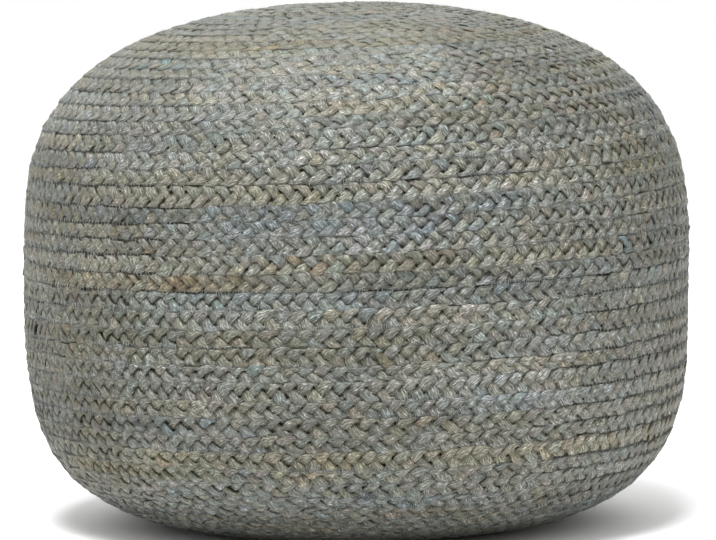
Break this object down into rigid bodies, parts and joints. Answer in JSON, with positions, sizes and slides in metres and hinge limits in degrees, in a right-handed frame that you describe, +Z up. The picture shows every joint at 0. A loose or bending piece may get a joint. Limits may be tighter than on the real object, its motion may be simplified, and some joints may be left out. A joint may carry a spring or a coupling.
{
  "type": "jute pouf",
  "caption": "Round, squat, filled floor pouf covered in plaited jute sewn in a flat spiral, with a softly domed crown, a girth seam and a flat base.",
  "frame": {"origin": "on the floor, under the middle of the base", "axes": "+Z up, along the pouf's own axis; -Y to the front, with both ends of the plait out of sight at the back; +X to the right as seen from the front"},
  "size_m": [0.449, 0.449, 0.352],
  "materials": {
    "jute": "dyed sage-grey jute fibre, matt, with uneven dye from stitch to stitch",
    "thread": "matt sewing thread in the seams between courses"
  },
  "bodies": {
    "root": {"crown_shell": "jute", "base_shell": "jute"}
  },
  "joints": []
}
